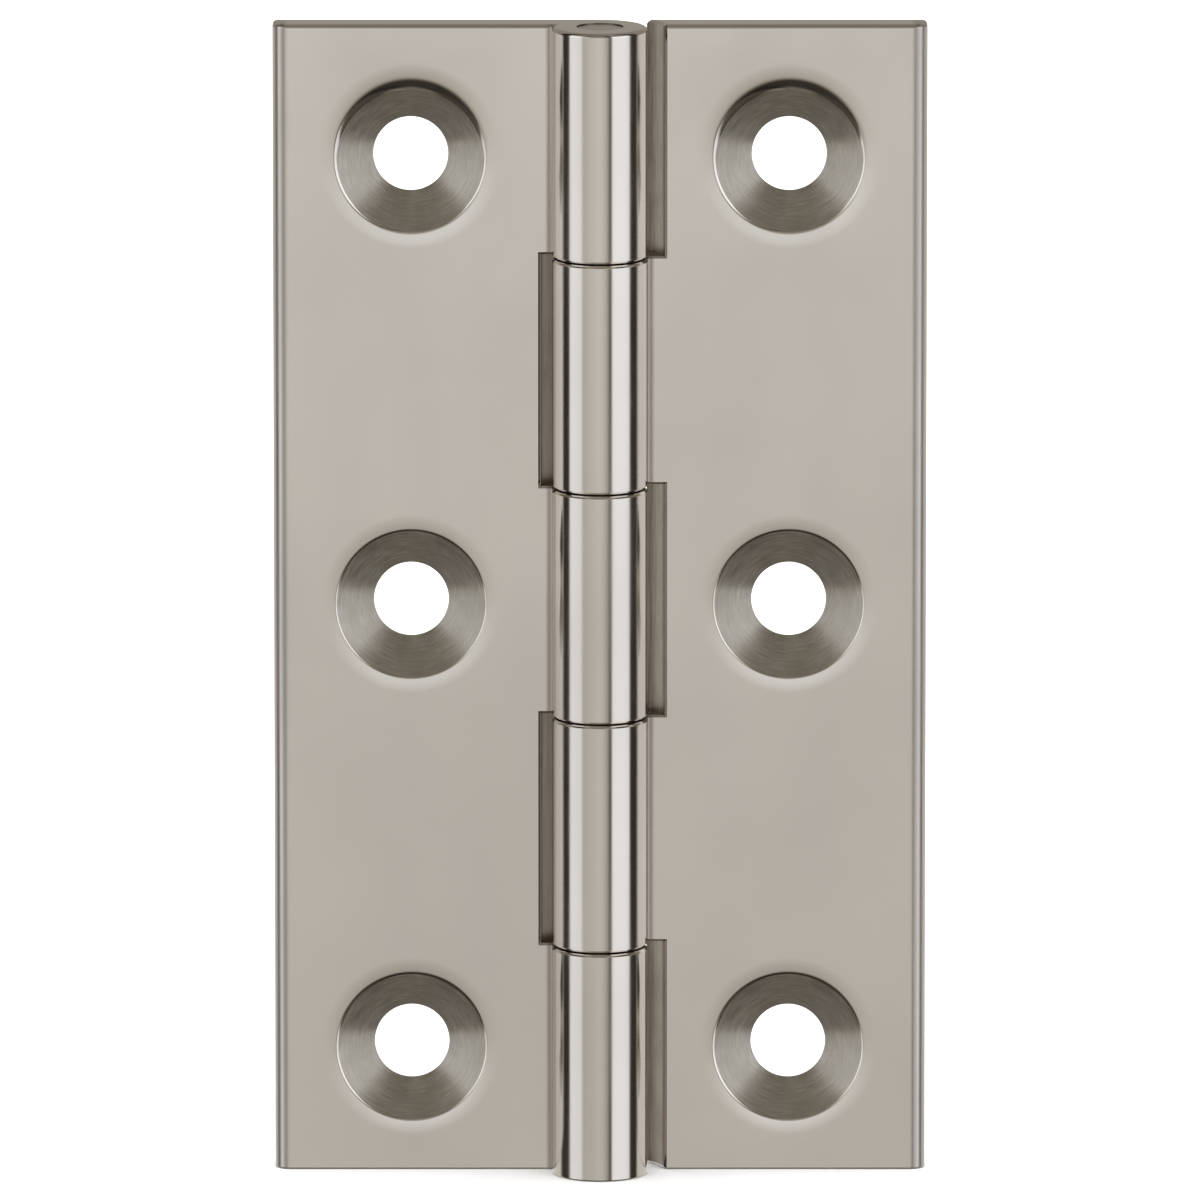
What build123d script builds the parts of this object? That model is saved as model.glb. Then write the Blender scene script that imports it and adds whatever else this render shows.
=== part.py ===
"""Solid-drawn butt hinge, open flat, with three countersunk screw holes in each leaf.

Each leaf is one length of extruded brass: a flat plate that runs tangent into a knuckle barrel, with every
other knuckle milled away. A steel pin goes through all five knuckles. It is pressed into the three knuckles
of the frame leaf and runs free in the two knuckles of the door leaf.

Frame, in millimetres: the origin is on the pin's axis at half its length. +Z runs up the pin, the
countersunk faces look along -Y, the frame leaf lies at -X and the door leaf at +X.
"""
from build123d import *
import math
import os

# Leaves
leaf_length = 50.0
open_width = 28.0
leaf_thickness = 1.5
outer_edge_radius = 0.65
back_edge_radius = 0.24
end_edge_radius = 0.2

# Knuckles
knuckle_count = 5
knuckle_diameter = 4.1
knuckle_gap = 0.08
root_radius = 0.15
door_notch_clearance = 0.78
frame_notch_clearance = 0.56

# Pin
pin_diameter = 2.0
pin_length = 49.9
pin_end_chamfer = 0.15
running_clearance = 0.04

# Screw holes
hole_diameter = 3.2
countersink_diameter = 6.5
countersink_angle = 100.0
hole_to_pin_axis = 8.1
hole_pitch = 19.4
hole_row_drop = 0.2
holes_per_leaf = 3

# Worked out from the above
half_width = open_width / 2
knuckle_radius = knuckle_diameter / 2
knuckle_pitch = leaf_length / knuckle_count
face_setback = knuckle_radius - leaf_thickness
door_notch_radius = knuckle_radius + door_notch_clearance
frame_notch_radius = knuckle_radius + frame_notch_clearance
countersink_depth = (countersink_diameter - hole_diameter) / 2 / math.tan(math.radians(countersink_angle / 2))


def rounded(section, x, y, radius):
    """Round the corner of a flat section that lies nearest to x, y."""
    corner = section.vertices().sort_by_distance((x, y, 0))[0]
    return fillet(corner, radius)


def leaf_section():
    """Section across a leaf that points along +X: the plate's back is tangent to the barrel."""
    barrel = Circle(knuckle_radius)
    plate = Pos(half_width / 2, knuckle_radius - leaf_thickness / 2) * Rectangle(half_width, leaf_thickness)
    section = barrel + plate
    face_meets_barrel = math.sqrt(knuckle_radius**2 - face_setback**2)
    section = rounded(section, face_meets_barrel, face_setback, root_radius)
    section = rounded(section, half_width, face_setback, outer_edge_radius)
    section = rounded(section, half_width, knuckle_radius, back_edge_radius)
    return section


def leaf_blank():
    """The full-length extrusion, before milling, with its end edges eased."""
    blank = Pos(0, 0, -leaf_length / 2) * extrude(leaf_section(), leaf_length)
    ends = blank.faces().filter_by(Axis.Z).edges()
    return fillet(ends, end_edge_radius)


def notch(index, radius):
    """The space milled away for the other leaf's knuckle, counted from the top."""
    middle = leaf_length / 2 - (index + 0.5) * knuckle_pitch
    return Pos(0, 0, middle) * Cylinder(radius, knuckle_pitch + knuckle_gap)


def pin_bore(clearance):
    """The hole through all the knuckles of a leaf."""
    return Cylinder(pin_diameter / 2 + clearance, leaf_length)


def hole_heights():
    """Height of each screw hole, from the top down."""
    middle = (holes_per_leaf - 1) / 2
    return [(middle - index) * hole_pitch - hole_row_drop for index in range(holes_per_leaf)]


def screw_hole(z):
    """One countersunk hole, drilled along Y from the face of a leaf that points along +X."""
    drill = Cylinder(hole_diameter / 2, 3 * leaf_thickness)
    cone = Cone(hole_diameter / 2, countersink_diameter / 2, countersink_depth)
    cone = Pos(0, 0, -face_setback - countersink_depth / 2) * cone
    return Pos(hole_to_pin_axis, 0, z) * Rot(90, 0, 0) * (Pos(0, 0, -knuckle_radius) * drill + cone)


def leaf(notched_knuckles, notch_radius, bore_clearance):
    """A finished leaf that points along +X."""
    body = leaf_blank()
    for index in notched_knuckles:
        body -= notch(index, notch_radius)
    body -= pin_bore(bore_clearance)
    for z in hole_heights():
        body -= screw_hole(z)
    return body


def door_leaf():
    """The leaf that turns: knuckles two and four, running on the pin."""
    return leaf(range(0, knuckle_count, 2), door_notch_radius, running_clearance)


def frame_leaf():
    """The fixed leaf: knuckles one, three and five, pressed onto the pin."""
    return mirror(leaf(range(1, knuckle_count, 2), frame_notch_radius, 0.0), Plane.YZ)


def hinge_pin():
    """A plain steel pin with eased ends, just short of the knuckles' ends."""
    pin = Cylinder(pin_diameter / 2, pin_length)
    ends = pin.faces().filter_by(Axis.Z).edges()
    return chamfer(ends, pin_end_chamfer)


os.makedirs("parts", exist_ok=True)
pieces = {
    "frame_leaf": frame_leaf(),
    "door_leaf": door_leaf(),
    "hinge_pin": hinge_pin(),
}
for name, piece in pieces.items():
    export_step(piece, f"parts/{name}.step")
    print(name, "volume", round(piece.volume, 2), "mm3")
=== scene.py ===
"""A nickel-plated butt hinge, open flat, in a plain studio."""

import math

import bmesh
import bpy
from mathutils import Matrix, Vector
from mathutils.geometry import delaunay_2d_cdt


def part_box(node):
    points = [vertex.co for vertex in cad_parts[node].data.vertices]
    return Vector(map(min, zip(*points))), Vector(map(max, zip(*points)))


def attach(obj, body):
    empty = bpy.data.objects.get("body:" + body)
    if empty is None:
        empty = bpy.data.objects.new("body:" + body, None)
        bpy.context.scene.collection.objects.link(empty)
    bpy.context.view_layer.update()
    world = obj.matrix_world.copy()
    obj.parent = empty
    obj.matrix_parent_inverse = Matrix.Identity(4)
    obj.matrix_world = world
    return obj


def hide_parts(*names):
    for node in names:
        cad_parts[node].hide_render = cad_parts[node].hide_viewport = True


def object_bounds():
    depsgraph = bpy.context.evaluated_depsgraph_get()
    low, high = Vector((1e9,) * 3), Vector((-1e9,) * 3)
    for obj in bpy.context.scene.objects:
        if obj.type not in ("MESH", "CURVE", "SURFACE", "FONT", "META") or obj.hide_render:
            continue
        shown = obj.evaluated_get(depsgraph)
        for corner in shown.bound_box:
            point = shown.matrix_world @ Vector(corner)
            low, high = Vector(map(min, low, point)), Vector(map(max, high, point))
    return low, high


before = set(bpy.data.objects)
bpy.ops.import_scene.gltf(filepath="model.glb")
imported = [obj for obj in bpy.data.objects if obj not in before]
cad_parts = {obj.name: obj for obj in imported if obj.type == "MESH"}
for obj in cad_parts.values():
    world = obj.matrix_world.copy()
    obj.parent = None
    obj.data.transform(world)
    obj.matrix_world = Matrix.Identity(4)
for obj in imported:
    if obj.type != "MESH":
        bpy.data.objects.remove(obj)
cad_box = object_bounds()

MM = 0.001

# Driving sizes, in millimetres. The frame gives the outer sizes; the rest are the hinge's details.
_, leaf_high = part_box("door_leaf")
_, pin_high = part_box("hinge_pin")
HALF_LENGTH = leaf_high.z / MM
HALF_WIDTH = leaf_high.x / MM
KNUCKLE_RADIUS = leaf_high.y / MM
PIN_RADIUS = pin_high.x / MM
PIN_HALF_LENGTH = pin_high.z / MM
PIN_END_RADIUS = 0.05
LEAF_THICKNESS = 1.5
KNUCKLE_COUNT = 5
KNUCKLE_GAP = 0.08
DOOR_NOTCH_CLEARANCE = 0.78
FRAME_NOTCH_CLEARANCE = 0.56
RUNNING_CLEARANCE = 0.04
ROOT_RADIUS = 0.15
OUTER_EDGE_RADIUS = 0.65
BACK_EDGE_RADIUS = 0.24
UPPER_END_RADIUS = 0.2
LOWER_END_RADIUS = 0.08
ARRIS = 0.1

HOLE_RADIUS = 1.6
RIM_RADIUS = 3.25
CONE_SLOPE = math.radians(40)
HOLE_X = 8.1
HOLE_PITCH = 19.4
HOLE_ROW_Z = -0.2
HOLE_ROWS = (1, 0, -1)
HOLE_STEPS = 120
HOLE_ARRIS = 0.06
LIP_RADII = (0.25, 0.15, 0.2)    # from the top row down
WORN_LIPS = (0.75, 0.1, 0.1)     # what the polishing wheel has added at the upper side of each
RUN_OUT = 0.6
RUN_OUT_SLOPE = math.radians(3.6)

FACE_Y = KNUCKLE_RADIUS - LEAF_THICKNESS
KNUCKLE_PITCH = 2 * HALF_LENGTH / KNUCKLE_COUNT
DOOR_NOTCH_RADIUS = KNUCKLE_RADIUS + DOOR_NOTCH_CLEARANCE
FRAME_NOTCH_RADIUS = KNUCKLE_RADIUS + FRAME_NOTCH_CLEARANCE


# Mesh helpers -------------------------------------------------------------------------------------

def arc(centre_x, centre_y, radius, start, end, steps):
    """Points along an arc, in degrees, both ends included."""
    points = []
    for i in range(steps + 1):
        a = math.radians(start + (end - start) * i / steps)
        points.append((centre_x + radius * math.cos(a), centre_y + radius * math.sin(a)))
    return points


def turn(step, steps):
    """The angle of one step out of steps round a circle, in radians."""
    return 2 * math.pi * step / steps


def leaf_outline(inset):
    """Section across a leaf that points along +X, anticlockwise from the back, moved in by inset."""
    root_y = FACE_Y - ROOT_RADIUS
    root_x = math.sqrt((KNUCKLE_RADIUS + ROOT_RADIUS) ** 2 - root_y ** 2)
    tangent = math.degrees(math.atan2(root_y, root_x))
    barrel = arc(0, 0, KNUCKLE_RADIUS - inset, 90, 360 + tangent, 100)
    root = arc(root_x, root_y, ROOT_RADIUS + inset, 180 + tangent, 90, 10)
    front_x, front_y = HALF_WIDTH - OUTER_EDGE_RADIUS, FACE_Y + OUTER_EDGE_RADIUS
    front = arc(front_x, front_y, OUTER_EDGE_RADIUS - inset, 270, 360, 8)
    back_x, back_y = HALF_WIDTH - BACK_EDGE_RADIUS, KNUCKLE_RADIUS - BACK_EDGE_RADIUS
    back = arc(back_x, back_y, BACK_EDGE_RADIUS - inset, 0, 90, 6)
    return barrel + root[1:] + front + back


def skin(bm, rings, cap):
    """Quads between one ring of vertices and the next, with a flat cap at each end if asked."""
    rows = [[bm.verts.new(p) for p in ring] for ring in rings]
    for low, high in zip(rows, rows[1:]):
        for i in range(len(low)):
            j = (i + 1) % len(low)
            bm.faces.new((low[i], low[j], high[j], high[i]))
    if cap:
        bm.faces.new(list(reversed(rows[0])))
        bm.faces.new(rows[-1])


def leaf_blank(bm):
    """The whole extrusion, its end edges rounded, before any milling."""
    steps = 5
    rings = []
    for side, end_radius in ((-1, LOWER_END_RADIUS), (1, UPPER_END_RADIUS)):
        turns = [90 * i / steps for i in range(steps + 1)]
        if side < 0:
            turns.reverse()
        for degrees in turns:
            t = math.radians(degrees)
            inset = end_radius * (1 - math.cos(t))
            z = side * (HALF_LENGTH - end_radius * (1 - math.sin(t)))
            rings.append([(x, y, z) for x, y in leaf_outline(inset)])
    skin(bm, rings, True)


def turned(bm, profile, steps, place):
    """A solid of revolution about local Z, from (radius, height) points that start and end off the axis."""
    rings = []
    for radius, height in profile:
        ring = []
        for i in range(steps):
            a = turn(i, steps)
            ring.append(place @ Vector((radius * math.cos(a), radius * math.sin(a), height)))
        rings.append(ring)
    skin(bm, rings, True)


def pin_blank(bm):
    """The pin: a plain rod whose ends are faced off flat and rounded over."""
    centre_radius = 0.02
    flat_steps = 8
    round_steps = 6
    half = [(centre_radius, PIN_HALF_LENGTH)]
    for i in range(1, flat_steps + 1):
        half.append(((PIN_RADIUS - PIN_END_RADIUS) * (i / flat_steps), PIN_HALF_LENGTH))
    for i in range(1, round_steps + 1):
        t = math.radians(90 * i / round_steps)
        radius = PIN_RADIUS - PIN_END_RADIUS * (1 - math.sin(t))
        half.append((radius, PIN_HALF_LENGTH - PIN_END_RADIUS * (1 - math.cos(t))))
    lower = [(radius, -height) for radius, height in half]
    turned(bm, lower + list(reversed(half)), 72, Matrix.Identity(4))


def screw_profile(lip_radius):
    """Half section of a countersunk hole: (radius, depth below the face), from the face to the back."""
    # Run-out: the polishing wheel has dished the face a little around the hole
    run_out_depth = math.tan(RUN_OUT_SLOPE) * RUN_OUT / 2
    # Lip: a round between the run-out's slope and the cone's
    lip_reach = lip_radius * (math.sin(CONE_SLOPE) - math.sin(RUN_OUT_SLOPE))
    lip_drop = lip_radius * (math.cos(RUN_OUT_SLOPE) - math.cos(CONE_SLOPE))
    lip_inner = RIM_RADIUS - (run_out_depth + lip_drop) / math.tan(CONE_SLOPE)
    lip_outer = lip_inner + lip_reach
    points = []
    steps = 8
    for i in range(steps):
        share = 1 - i / steps
        points.append((lip_outer + RUN_OUT * share, run_out_depth * (1 - share) ** 2))
    for i in range(steps + 1):
        slope = RUN_OUT_SLOPE + (CONE_SLOPE - RUN_OUT_SLOPE) * i / steps
        radius = lip_outer - lip_radius * (math.sin(slope) - math.sin(RUN_OUT_SLOPE))
        drop = lip_radius * (math.cos(RUN_OUT_SLOPE) - math.cos(slope))
        points.append((radius, run_out_depth + drop))
    cone_depth = (RIM_RADIUS - HOLE_RADIUS) * math.tan(CONE_SLOPE)
    points.append((HOLE_RADIUS, cone_depth))
    points.append((HOLE_RADIUS, LEAF_THICKNESS - HOLE_ARRIS))
    points.append((HOLE_RADIUS + HOLE_ARRIS, LEAF_THICKNESS))
    return points


def screw_hole(lip_radius, worn_lip):
    """Half sections of one hole, one for each step round it."""
    sections = []
    for i in range(HOLE_STEPS):
        upper = max(0.0, math.sin(turn(i, HOLE_STEPS)))
        sections.append(screw_profile(lip_radius + worn_lip * upper))
    return sections


def pierced_flat(bm, y, rims, normal_y):
    """Swap the flat at height y for one with a hole at each screw position, its rim given step by step."""
    flat = []
    for face in bm.faces:
        if face.normal.y * normal_y > 0.9999 and abs(face.calc_center_median().y - y) < 1e-3:
            flat.append(face)
    flat_set = set(flat)
    rim = []
    for edge in dict.fromkeys(e for f in flat for e in f.edges):
        if sum(f in flat_set for f in edge.link_faces) == 1:
            rim.append(edge)
    corners = list(dict.fromkeys(v for e in rim for v in e.verts))
    number = {v: i for i, v in enumerate(corners)}
    points = [Vector((v.co.x, v.co.z)) for v in corners]
    edges = [(number[e.verts[0]], number[e.verts[1]]) for e in rim]
    side = 1 if corners[0].co.x > 0 else -1
    centres = [Vector((side * HOLE_X, HOLE_ROW_Z + row * HOLE_PITCH)) for row in HOLE_ROWS]
    for centre, rim_radii in zip(centres, rims):
        first = len(points)
        for i, radius in enumerate(rim_radii):
            a = turn(i, HOLE_STEPS)
            points.append(centre + Vector((math.cos(a), math.sin(a))) * radius)
            edges.append((first + i, first + (i + 1) % HOLE_STEPS))
    bmesh.ops.delete(bm, geom=flat, context="FACES_ONLY")
    out_points, _, out_faces, originals, _, _ = delaunay_2d_cdt(points, edges, [], 1, 1e-6)
    made = []
    for point, sources in zip(out_points, originals):
        known = [i for i in sources if i < len(corners)]
        made.append(corners[known[0]] if known else bm.verts.new((point.x, y, point.y)))
    for triangle in out_faces:
        owners = {(originals[i][0] - len(corners)) // HOLE_STEPS for i in triangle}
        inside_a_hole = len(owners) == 1 and min(owners) >= 0
        if not inside_a_hole:
            bm.faces.new([made[i] for i in triangle])


def drill(obj):
    """Put the countersunk screw holes in a leaf that points along +X."""
    bm = bmesh.new()
    bm.from_mesh(obj.data)
    bm.normal_update()
    holes = [screw_hole(lip_radius, worn_lip) for lip_radius, worn_lip in zip(LIP_RADII, WORN_LIPS)]
    face_rims = [[section[0][0] for section in hole] for hole in holes]
    back_rims = [[section[-1][0] for section in hole] for hole in holes]
    pierced_flat(bm, FACE_Y, face_rims, -1)
    pierced_flat(bm, KNUCKLE_RADIUS, back_rims, 1)
    for row, hole in zip(HOLE_ROWS, holes):
        rings = []
        for level in range(len(hole[0])):
            ring = []
            for i, section in enumerate(hole):
                a = turn(i, HOLE_STEPS)
                radius, depth = section[level]
                z = HOLE_ROW_Z + row * HOLE_PITCH + radius * math.sin(a)
                ring.append((HOLE_X + radius * math.cos(a), FACE_Y + depth, z))
            rings.append(ring)
        skin(bm, rings, False)
    bmesh.ops.remove_doubles(bm, verts=bm.verts, dist=1e-4)
    bmesh.ops.recalc_face_normals(bm, faces=bm.faces)
    bm.to_mesh(obj.data)
    bm.free()


def linked(name, data):
    """A new object in the scene."""
    obj = bpy.data.objects.new(name, data)
    bpy.context.scene.collection.objects.link(obj)
    return obj


def new_object(name, build, *arguments):
    """A mesh object, in millimetres for now, from a function that fills a bmesh."""
    bm = bmesh.new()
    build(bm, *arguments)
    bmesh.ops.recalc_face_normals(bm, faces=bm.faces)
    mesh = bpy.data.meshes.new(name)
    bm.to_mesh(mesh)
    bm.free()
    return linked(name, mesh)


def settled(obj):
    """Apply an object's modifiers to its mesh."""
    bpy.context.view_layer.update()
    depsgraph = bpy.context.evaluated_depsgraph_get()
    mesh = bpy.data.meshes.new_from_object(obj.evaluated_get(depsgraph))
    obj.modifiers.clear()
    old = obj.data
    obj.data = mesh
    bpy.data.meshes.remove(old)


def cut(obj, cutter):
    """Take cutter's space out of obj."""
    modifier = obj.modifiers.new("cut", "BOOLEAN")
    modifier.operation = "DIFFERENCE"
    modifier.solver = "EXACT"
    modifier.object = cutter
    settled(obj)
    bpy.data.objects.remove(cutter)


def notch_cutter(index, radius):
    """The space milled out for the other leaf's knuckle, counted from the top, with a gap at each end."""
    middle = HALF_LENGTH - (index + 0.5) * KNUCKLE_PITCH
    reach = (KNUCKLE_PITCH + KNUCKLE_GAP) / 2
    profile = [(radius, -reach), (radius, reach)]
    return new_object("notch", turned, profile, 160, Matrix.Translation((0, 0, middle)))


def bore_cutter(radius):
    """The space drilled through every knuckle for the pin."""
    past_end = 1
    reach = HALF_LENGTH + past_end
    return new_object("bore", turned, [(radius, -reach), (radius, reach)], 64, Matrix.Identity(4))


def ease_edges(obj, width):
    """A narrow arris on every sharp outside edge, apart from the bore's."""
    weight = "bevel_weight_edge"
    bm = bmesh.new()
    bm.from_mesh(obj.data)
    layer = bm.edges.layers.float.get(weight) or bm.edges.layers.float.new(weight)
    for edge in bm.edges:
        if len(edge.link_faces) != 2:
            continue
        sharp = edge.calc_face_angle() > math.radians(24)
        bore = all(math.hypot(v.co.x, v.co.y) < PIN_RADIUS + 0.1 for v in edge.verts)
        edge[layer] = 1.0 if sharp and edge.is_convex and not bore else 0.0
        edge.smooth = not sharp
    bm.to_mesh(obj.data)
    bm.free()
    bevel = obj.modifiers.new("arris", "BEVEL")
    bevel.limit_method = "WEIGHT"
    bevel.offset_type = "OFFSET"
    bevel.width = width
    bevel.segments = 1
    bevel.use_clamp_overlap = False
    bevel.harden_normals = False
    settled(obj)


def finish_mesh(obj):
    """Clean up, go to metres and give smooth shading that keeps the flats flat."""
    bm = bmesh.new()
    bm.from_mesh(obj.data)
    bmesh.ops.remove_doubles(bm, verts=bm.verts, dist=1e-5)
    bmesh.ops.dissolve_degenerate(bm, edges=bm.edges, dist=1e-5)
    bmesh.ops.recalc_face_normals(bm, faces=bm.faces)
    for face in bm.faces:
        face.smooth = True
    for edge in bm.edges:
        if len(edge.link_faces) == 2:
            edge.smooth = edge.calc_face_angle() < math.radians(30)
    for vert in bm.verts:
        vert.co.z = max(-HALF_LENGTH, min(HALF_LENGTH, vert.co.z))
    bmesh.ops.scale(bm, vec=(MM, MM, MM), verts=bm.verts)
    bm.to_mesh(obj.data)
    bm.free()
    weighted = obj.modifiers.new("flat faces stay flat", "WEIGHTED_NORMAL")
    weighted.keep_sharp = True
    weighted.weight = 100
    settled(obj)


def make_leaf(name, notched, notch_radius, bore_radius, mirrored):
    """One leaf with its knuckles, holes and eased edges."""
    leaf = new_object(name, leaf_blank)
    for index in notched:
        cut(leaf, notch_cutter(index, notch_radius))
    cut(leaf, bore_cutter(bore_radius))
    ease_edges(leaf, ARRIS)
    drill(leaf)
    if mirrored:
        leaf.data.transform(Matrix.Scale(-1, 4, (1, 0, 0)))
        leaf.data.flip_normals()
    finish_mesh(leaf)
    return leaf


# The pieces ---------------------------------------------------------------------------------------

frame_knuckles = range(0, KNUCKLE_COUNT, 2)
door_knuckles = range(1, KNUCKLE_COUNT, 2)
door_bore = PIN_RADIUS + RUNNING_CLEARANCE

door = make_leaf("door_leaf_metal", frame_knuckles, DOOR_NOTCH_RADIUS, door_bore, False)
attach(door, "door_side")
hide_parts("door_leaf")

fixed = make_leaf("frame_leaf_metal", door_knuckles, FRAME_NOTCH_RADIUS, PIN_RADIUS, True)
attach(fixed, "frame_side")
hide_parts("frame_leaf")

pin = new_object("hinge_pin_metal", pin_blank)
finish_mesh(pin)
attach(pin, "frame_side")
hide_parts("hinge_pin")


# Shader helpers -----------------------------------------------------------------------------------

def node(tree, kind, inputs=(), **settings):
    """A shader node, with its settings and its inputs, each a value or another node's output."""
    made = tree.nodes.new("ShaderNode" + kind)
    for name, value in settings.items():
        setattr(made, name, value)
    for name, value in dict(inputs).items():
        if isinstance(value, bpy.types.NodeSocket):
            tree.links.new(value, made.inputs[name])
        else:
            made.inputs[name].default_value = value
    return made


def calculated(tree, operation, *values):
    """A math node's output."""
    return node(tree, "Math", dict(enumerate(values)), operation=operation).outputs[0]


def between(tree, value, low, high, to_low=0.0, to_high=1.0):
    """value moved from one range to another, with soft ends."""
    inputs = {"Value": value, "From Min": low, "From Max": high, "To Min": to_low, "To Max": to_high}
    return node(tree, "MapRange", inputs, interpolation_type="SMOOTHSTEP").outputs["Result"]


def blended(tree, share, first, second):
    """A number between first and second."""
    return node(tree, "Mix", {0: share, 2: first, 3: second}, data_type="FLOAT").outputs[0]


def mixed(tree, share, first, second):
    """A colour between first and second."""
    return node(tree, "Mix", {0: share, 6: first, 7: second}, data_type="RGBA").outputs[2]


def split(tree, vector):
    """The X, Y and Z of a vector."""
    parts = node(tree, "SeparateXYZ", {"Vector": vector}).outputs
    return parts["X"], parts["Y"], parts["Z"]


def joined(tree, **parts):
    """A vector from its X, Y and Z, each 0 unless given."""
    return node(tree, "CombineXYZ", parts).outputs["Vector"]


def vector_math(tree, operation, inputs):
    """A vector math node."""
    return node(tree, "VectorMath", inputs, operation=operation)


def length(tree, vector):
    """How long a vector is."""
    return vector_math(tree, "LENGTH", {0: vector}).outputs["Value"]


def noise(tree, place, scale, detail=2.0, stretch=(1, 1, 1)):
    """Noise with features about 1 / scale millimetres across, drawn out along an axis by stretch."""
    size = tuple(scale / MM / s for s in stretch)
    moved = node(tree, "Mapping", {"Vector": place, "Scale": size}).outputs["Vector"]
    return node(tree, "TexNoise", {"Vector": moved, "Scale": 1.0, "Detail": detail}).outputs["Fac"]


def bump(tree, height, strength, depth, **under):
    """The normal of a surface that height lifts by up to depth millimetres, over another normal if given."""
    inputs = {"Height": height, "Strength": strength, "Distance": depth * MM, **under}
    return node(tree, "Bump", inputs).outputs["Normal"]


def metal(name, roughness):
    """A new metal material and its tree, shader and object coordinates."""
    material = bpy.data.materials.new(name)
    material.use_nodes = True
    tree = material.node_tree
    shader = tree.nodes["Principled BSDF"]
    shader.inputs["Metallic"].default_value = 1.0
    shader.inputs["Roughness"].default_value = roughness
    place = node(tree, "TexCoord").outputs["Object"]
    return material, tree, shader, place


def feed(tree, shader, colour, rough, normal):
    """Link a colour, a roughness and a normal to a material's shader."""
    tree.links.new(colour, shader.inputs["Base Color"])
    tree.links.new(rough, shader.inputs["Roughness"])
    tree.links.new(normal, shader.inputs["Normal"])


def edge_wear(tree, width):
    """1 on the arrises, where the plate has been rubbed, and 0 on the flats."""
    soft = node(tree, "Bevel", {"Radius": width * MM}, samples=6).outputs["Normal"]
    plain = node(tree, "NewGeometry").outputs["Normal"]
    same = vector_math(tree, "DOT_PRODUCT", {0: soft, 1: plain}).outputs["Value"]
    return between(tree, same, 0.995, 0.9)


# Materials ----------------------------------------------------------------------------------------

def polished_nickel():
    """Nickel plate buffed to a shine: faint haze, long buffing lines and rubbed edges, with painted shade in
    the root corners and a painted dark stripe near each long edge.
    """
    clean = (0.69, 0.642, 0.59, 1)
    hazy = (0.65, 0.604, 0.555, 1)
    rubbed = (0.71, 0.66, 0.575, 1)
    root_shade_colour = (0.42, 0.385, 0.33, 1)
    stripe_shade_colour = (0.25, 0.225, 0.185, 1)
    root_ahead = 0.06     # from the face to the middle of the root corner's painted shade
    line_inset = 0.44     # from the long edge to the painted dark stripe
    material, tree, shader, place = metal("polished_nickel", 0.14)
    haze = noise(tree, place, 0.09, 3.0)
    smears = noise(tree, place, 0.35, 4.0, (1, 1, 3))
    lines = noise(tree, place, 14.0, 3.0, (1, 1, 60))
    waves = noise(tree, place, 0.16, 1.0)
    wear = edge_wear(tree, 0.12)
    x, y, _ = split(tree, place)
    from_middle = calculated(tree, "ABSOLUTE", x)

    colour = mixed(tree, between(tree, haze, 0.35, 0.7), clean, hazy)
    colour = mixed(tree, calculated(tree, "MULTIPLY", wear, 0.7), colour, rubbed)
    # The buffing wheel can't reach the corner between a face and its knuckles, so it is rougher there; its
    # colour is darkened there with painted shade
    root_x = calculated(tree, "SUBTRACT", from_middle, KNUCKLE_RADIUS * MM)
    root_y = calculated(tree, "SUBTRACT", y, (FACE_Y - root_ahead) * MM)
    root = between(tree, length(tree, joined(tree, X=root_x, Y=root_y)), 0.12 * MM, 0.34 * MM, 1.0, 0.0)
    colour = mixed(tree, calculated(tree, "MULTIPLY", root, 0.6), colour, root_shade_colour)
    # A painted dark stripe of shade on the rounding of each long edge, close to the face
    past_line = calculated(tree, "SUBTRACT", from_middle, (HALF_WIDTH - line_inset) * MM)
    shade_stripe = between(tree, calculated(tree, "ABSOLUTE", past_line), 0.03 * MM, 0.16 * MM, 0.5, 0.0)
    near_face = between(tree, y, (FACE_Y + 0.2) * MM, (FACE_Y + 0.4) * MM, 1.0, 0.0)
    colour = mixed(tree, calculated(tree, "MULTIPLY", shade_stripe, near_face), colour, stripe_shade_colour)

    edge_start, edge_end = (HALF_WIDTH - 0.75) * MM, (HALF_WIDTH - 0.45) * MM
    long_edge = between(tree, from_middle, edge_start, edge_end, 0.0, 0.2)
    rough = calculated(tree, "ADD", between(tree, smears, 0.35, 0.7, 0.12, 0.18), long_edge)
    rough = calculated(tree, "ADD", rough, calculated(tree, "MULTIPLY", wear, 0.08))
    rough = calculated(tree, "ADD", rough, calculated(tree, "MULTIPLY", root, 0.3))
    wavy = bump(tree, waves, 0.35, 0.006)
    scratched = bump(tree, lines, 0.25, 0.0006, Normal=wavy)
    feed(tree, shader, colour, rough, scratched)
    return material


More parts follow.
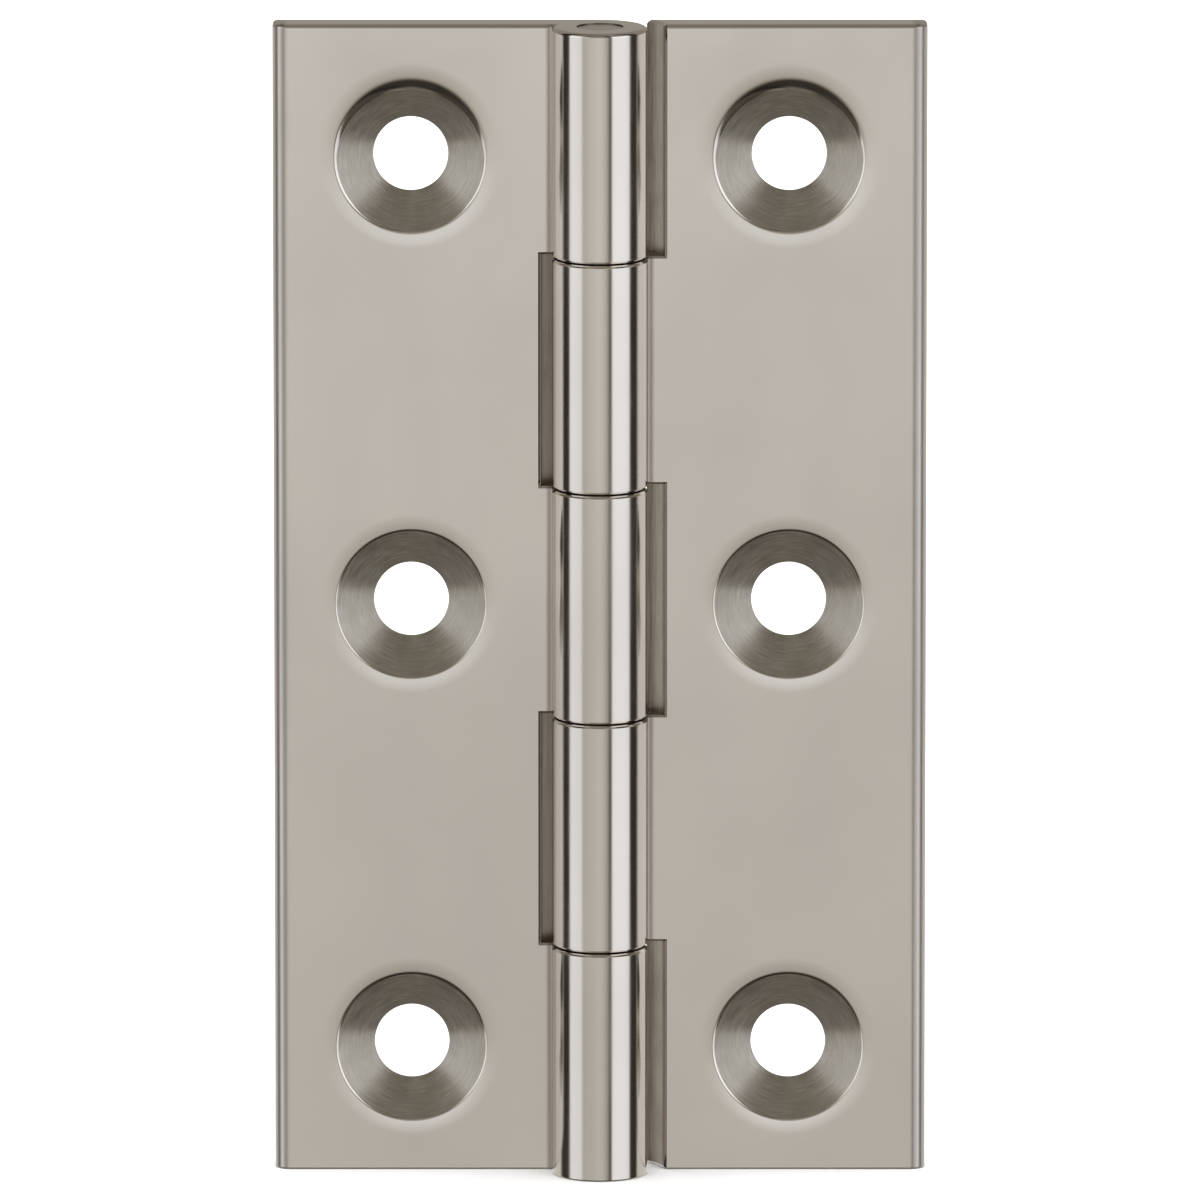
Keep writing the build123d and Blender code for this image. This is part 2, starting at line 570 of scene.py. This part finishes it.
def turned_nickel(leaf_name, side):
    """The countersinks: plate over bare tool marks, fine rings about each hole, duller than the faces."""
    dark_ring = (0.5, 0.46, 0.4, 1)
    bright_ring = (0.68, 0.635, 0.565, 1)
    dragged = (0.48, 0.44, 0.38, 1)
    ring_pitch = 0.08
    streaks_round = 3.0
    material, tree, shader, place = metal("turned_nickel_" + leaf_name, 0.4)
    x, _, z = split(tree, place)
    across = calculated(tree, "SUBTRACT", x, side * HOLE_X * MM)
    from_row = calculated(tree, "SUBTRACT", z, HOLE_ROW_Z * MM)
    row = calculated(tree, "DIVIDE", from_row, HOLE_PITCH * MM)
    past_row = calculated(tree, "SUBTRACT", row, calculated(tree, "ROUND", row))
    away = joined(tree, X=across, Z=calculated(tree, "MULTIPLY", past_row, HOLE_PITCH * MM))
    outward = vector_math(tree, "NORMALIZE", {0: away}).outputs["Vector"]
    tree.links.new(outward, shader.inputs["Tangent"])
    shader.inputs["Anisotropic"].default_value = 1.0

    around = vector_math(tree, "SCALE", {0: outward, "Scale": streaks_round}).outputs["Vector"]
    outer = joined(tree, Y=calculated(tree, "DIVIDE", length(tree, away), ring_pitch * MM))
    ring_place = vector_math(tree, "ADD", {0: around, 1: outer}).outputs["Vector"]
    rings = node(tree, "TexNoise", {"Vector": ring_place, "Scale": 1.0, "Detail": 4.0}).outputs["Fac"]
    drag = noise(tree, place, 1.2, 3.0)
    colour = mixed(tree, between(tree, rings, 0.3, 0.7), dark_ring, bright_ring)
    colour = mixed(tree, between(tree, drag, 0.3, 0.8, 0.0, 0.6), colour, dragged)
    rough = between(tree, rings, 0.3, 0.7, 0.32, 0.42)
    feed(tree, shader, colour, rough, bump(tree, rings, 0.45, 0.008))
    return material


def milled_nickel(leaf_name, notch_shade):
    """The notches between knuckles: cut after drawing, so matt, with cutter lines that run along the pin;
    painted shade darkens them, more on the frame leaf, and most at their mouths by the face.
    """
    dark_line = (0.34, 0.31, 0.265, 1)
    bright_line = (0.64, 0.59, 0.515, 1)
    notch_shade_colour = (0.2, 0.17, 0.135, 1)
    mouth_shade_colour = (0.06, 0.054, 0.045, 1)
    material, tree, shader, place = metal("milled_nickel_" + leaf_name, 0.42)
    lines = noise(tree, place, 9.0, 4.0, (1, 1, 25))
    patches = noise(tree, place, 0.6, 3.0)
    colour = mixed(tree, between(tree, lines, 0.3, 0.7), dark_line, bright_line)
    colour = mixed(tree, between(tree, patches, 0.35, 0.75, 0.0, 0.6), colour, dark_line)
    # Painted shade darkens the notches, by a share set for each leaf
    colour = mixed(tree, notch_shade, colour, notch_shade_colour)
    # Painted shade along the mouth of each notch, near the face
    _, y, _ = split(tree, place)
    mouth_shade = between(tree, y, (FACE_Y + 0.1) * MM, (FACE_Y + 0.45) * MM, 0.75, 0.0)
    colour = mixed(tree, mouth_shade, colour, mouth_shade_colour)
    rough = between(tree, lines, 0.3, 0.7, 0.32, 0.5)
    feed(tree, shader, colour, rough, bump(tree, lines, 0.5, 0.01))
    return material


def ground_steel():
    """The pin: ground steel, with turning rings on its ends."""
    dark = (0.50, 0.47, 0.43, 1)
    bright = (0.60, 0.57, 0.53, 1)
    ring_pitch = 0.06
    material, tree, shader, place = metal("ground_steel", 0.25)
    x, y, _ = split(tree, place)
    radius = length(tree, joined(tree, X=x, Y=y))
    ring_inputs = {"W": calculated(tree, "DIVIDE", radius, ring_pitch * MM), "Scale": 1.0, "Detail": 3.0}
    rings = node(tree, "TexNoise", ring_inputs, noise_dimensions="1D").outputs["Fac"]
    colour = mixed(tree, noise(tree, place, 0.8, 3.0), dark, bright)
    rough = between(tree, rings, 0.3, 0.7, 0.2, 0.34)
    feed(tree, shader, colour, rough, bump(tree, rings, 0.4, 0.004))
    return material


POLISHED, TURNED, MILLED = range(3)

# Where the finishes start and stop, in millimetres, for picking faces by their centres
SLACK = 0.02
NOTCH_START = KNUCKLE_RADIUS + 0.3
NOTCH_REACH = DOOR_NOTCH_RADIUS + 0.15
BORE_REACH = PIN_RADIUS + 0.1
SEAM_REACH = HALF_LENGTH - 0.5


def finish_at(centre, normal):
    """Which finish a leaf's face has, by its centre, in metres, and its normal."""
    x, y, z = (c / MM for c in centre)
    below_face = FACE_Y + SLACK < y < KNUCKLE_RADIUS - HOLE_ARRIS / 2
    steep = abs(normal.y) < math.cos(CONE_SLOPE) + 0.01
    for row in HOLE_ROWS:
        radius = math.hypot(abs(x) - HOLE_X, z - HOLE_ROW_Z - row * HOLE_PITCH)
        if radius < RIM_RADIUS + SLACK and below_face and steep:
            return TURNED
    from_axis = math.hypot(x, y)
    faces_axis = normal.x * x + normal.y * y < -0.8 * from_axis
    scallop = NOTCH_START < from_axis < NOTCH_REACH and faces_axis
    seam_face = abs(z) < SEAM_REACH and abs(normal.z) > 0.9
    bore = from_axis < BORE_REACH
    return MILLED if scallop or seam_face or bore else POLISHED


plate = polished_nickel()
# Each leaf, its name and side, and how much painted shade darkens its notches
LEAVES = ((door, "door", 1, 0.1), (fixed, "frame", -1, 0.6))
for leaf, leaf_name, side, notch_shade in LEAVES:
    leaf.data.materials.clear()
    for material in (plate, turned_nickel(leaf_name, side), milled_nickel(leaf_name, notch_shade)):
        leaf.data.materials.append(material)
    for polygon in leaf.data.polygons:
        polygon.material_index = finish_at(polygon.center, polygon.normal)
pin.data.materials.clear()
pin.data.materials.append(ground_steel())


# Studio -------------------------------------------------------------------------------------------

FLOOR_REACH = 3.0
FLOOR_COLOUR = (0.9, 0.9, 0.9, 1)
BACKDROP = (0.98, 0.98, 0.98, 1)

# Light round the hinge, by compass angle in degrees from straight ahead (+ to the right), and its level
RING = [
    (-180, 0.8), (-155, 0.75), (-112, 0.72), (-106, 0.03), (-81, 0.03), (-76, 1.05), (-64, 1.01),
    (-47, 0.96), (-42, 0.56), (-36, 0.54), (-28, 0.6), (-14, 0.64), (-7, 0.68), (0, 0.69),
    (6, 0.65), (12, 0.57), (19, 0.4), (23, 0.1), (27, 0.1), (31, 1.1), (60, 1.1),
    (74, 1.03), (79, 0.03), (99, 0.03), (104, 0.7), (155, 0.75), (180, 0.8),
]
# The same light by height above the horizon, in degrees: ahead of the hinge, at its sides and behind it
HEIGHT_AHEAD = [
    (-90, 0.4), (-76, 0.25), (-66, 0.06), (-34, 0.06), (-26, 0.3), (-20, 0.7), (-16, 0.8),
    (-13, 0.9), (-11.8, 0.97), (-10.8, 1.03), (-9.8, 1.11), (-8.6, 1.22), (-6, 1.4), (-2, 1.4),
    (4, 0.9), (12, 0.62), (40, 0.42), (60, 0.28), (90, 0.38),
]
HEIGHT_ASIDE = [
    (-90, 0.36), (-76, 0.22), (-66, 0.06), (-25, 0.08), (-20, 0.95), (-10.8, 1.03),
    (-6, 1.2), (10, 1.32), (28, 1.25), (33, 0.26), (60, 0.26), (90, 0.38),
]
HEIGHT_BEHIND = [
    (-90, 0.4), (-40, 0.7), (-20, 1.0), (-8, 1.0), (-2, 0.75), (3, 0.44), (30, 0.4), (60, 0.4), (90, 0.38),
]
BRIGHTEST = 2.0

OVERHEAD_ENERGY = 40
OVERHEAD_SIZE = 1.5
OVERHEAD_HEIGHT = 1.2


def make_floor():
    """A plain floor at the hinge's lowest point."""
    mesh = bpy.data.meshes.new("floor")
    reach = FLOOR_REACH
    z = cad_box[0][2]
    corners = [(-reach, -reach, z), (reach, -reach, z), (reach, reach, z), (-reach, reach, z)]
    mesh.from_pydata(corners, [], [(0, 1, 2, 3)])
    obj = linked("floor", mesh)
    material = bpy.data.materials.new("floor")
    material.use_nodes = True
    material.node_tree.nodes["Principled BSDF"].inputs["Base Color"].default_value = FLOOR_COLOUR
    mesh.materials.append(material)
    return obj


def ramp(tree, value, low, high, stops):
    """The level at value, from (value, level) stops in order, where low to high is the whole range."""
    above_low = calculated(tree, "SUBTRACT", value, low)
    made = node(tree, "ValToRGB", {"Fac": calculated(tree, "DIVIDE", above_low, high - low)})
    elements = made.color_ramp.elements
    elements.remove(elements[1])
    elements[0].color = (stops[0][1] / BRIGHTEST,) * 3 + (1,)
    for position, level in stops[1:]:
        element = elements.new((position - low) / (high - low))
        element.color = (level / BRIGHTEST,) * 3 + (1,)
    return calculated(tree, "MULTIPLY", made.outputs["Color"], BRIGHTEST)


def studio_light():
    """Soft panels around the hinge with gaps between them, brighter near the horizon than far above it."""
    warm = (1.1, 1.0, 0.85, 1)
    plain = (1.0, 1.0, 0.965, 1)
    cool = (0.965, 1.0, 1.06, 1)
    world = bpy.data.worlds.new("studio")
    world.use_nodes = True
    tree = world.node_tree
    x, y, z = split(tree, node(tree, "TexCoord").outputs["Generated"])
    toward_front = calculated(tree, "MULTIPLY", y, -1.0)
    compass = calculated(tree, "DEGREES", calculated(tree, "ARCTAN2", x, toward_front))
    height = calculated(tree, "DEGREES", calculated(tree, "ARCSINE", z))
    ahead = ramp(tree, height, -90, 90, HEIGHT_AHEAD)
    behind = ramp(tree, height, -90, 90, HEIGHT_BEHIND)
    aside = ramp(tree, height, -90, 90, HEIGHT_ASIDE)
    off_centre = calculated(tree, "ABSOLUTE", compass)
    upward = blended(tree, between(tree, off_centre, 24, 30), ahead, aside)
    upward = blended(tree, between(tree, y, -0.1, 0.1), upward, behind)
    level = calculated(tree, "MULTIPLY", ramp(tree, compass, -180, 180, RING), upward)
    tint = mixed(tree, between(tree, level, 0.1, 0.7), warm, plain)
    tint = mixed(tree, between(tree, level, 0.7, 1.1), tint, cool)
    light = vector_math(tree, "SCALE", {0: tint, "Scale": level}).outputs["Vector"]
    seen = node(tree, "LightPath").outputs["Is Camera Ray"]
    tree.links.new(mixed(tree, seen, light, BACKDROP), tree.nodes["Background"].inputs["Color"])
    return world


floor = make_floor()
floor.visible_glossy = False
floor.visible_shadow = False
bpy.context.scene.world = studio_light()

overhead_data = bpy.data.lights.new("overhead", "AREA")
overhead_data.energy = OVERHEAD_ENERGY
overhead_data.size = OVERHEAD_SIZE
overhead = linked("overhead", overhead_data)
overhead.location = (0, 0, OVERHEAD_HEIGHT)
overhead.visible_glossy = False


# Camera -------------------------------------------------------------------------------------------

ELEVATION = math.radians(10.8)
DISTANCE = 0.9
AIM_HEIGHT = 0.1 * MM
FRAME_WIDTH = 0.05145
SENSOR_WIDTH = 36
CLIP_END = 20

camera_data = bpy.data.cameras.new("camera")
camera_data.sensor_width = SENSOR_WIDTH
camera_data.lens = DISTANCE / FRAME_WIDTH * SENSOR_WIDTH
camera_data.clip_end = CLIP_END
camera = linked("camera", camera_data)
camera_height = DISTANCE * math.sin(ELEVATION) + AIM_HEIGHT
camera.location = (0, -DISTANCE * math.cos(ELEVATION), camera_height)
camera.rotation_euler = (math.radians(90) - ELEVATION, 0, 0)
bpy.context.scene.camera = camera
bpy.context.scene.view_settings.view_transform = "Standard"
